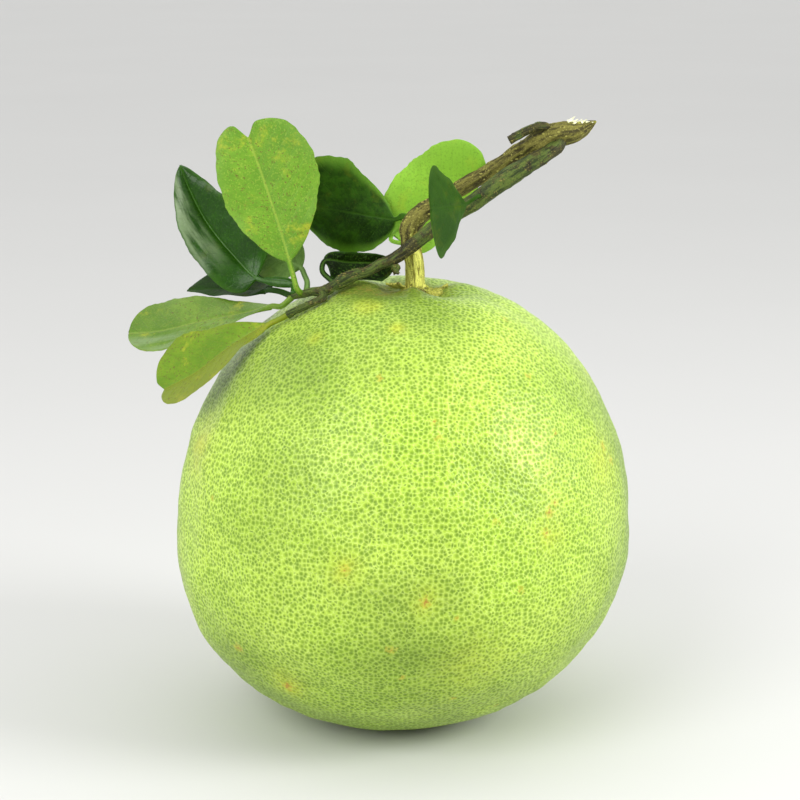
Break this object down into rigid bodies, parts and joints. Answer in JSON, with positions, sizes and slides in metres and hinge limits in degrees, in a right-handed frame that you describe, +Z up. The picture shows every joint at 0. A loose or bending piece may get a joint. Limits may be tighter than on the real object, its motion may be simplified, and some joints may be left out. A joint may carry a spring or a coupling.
{
  "type": "pomelo",
  "caption": "Whole green pomelo as picked, with its woody stalk, a leafy shoot and leaves, resting on a small flat spot under it.",
  "frame": {"origin": "centre of the flat spot under the fruit that it rests on", "axes": "+Z up, from the flat spot towards the crown and the stalk; +X to the right, the way the branch leans; -Y to the front"},
  "size_m": [0.179, 0.162, 0.215],
  "materials": {
    "skin": "satin",
    "calyx": "matte",
    "bark": "matte",
    "green_bark": "matte",
    "leaf_light": "satin",
    "leaf_dark": "satin",
    "leaf_pale": "satin"
  },
  "bodies": {
    "root": {"fruit": "skin", "calyx": "calyx", "fruit_stalk": "bark", "leafy_shoot": "green_bark", "lower_shoot": "green_bark", "cut_side_shoot": "green_bark", "broken_spur": "green_bark", "leaf_upright": "leaf_light", "leaf_glossy": "leaf_dark", "leaf_shaded": "leaf_dark", "leaf_pale": "leaf_pale", "leaf_small": "leaf_dark", "leaf_curled": "leaf_dark", "leaf_left_upper": "leaf_light", "leaf_left_lower": "leaf_light", "leaf_under": "leaf_dark", "leaf_rear": "leaf_dark"}
  },
  "joints": []
}
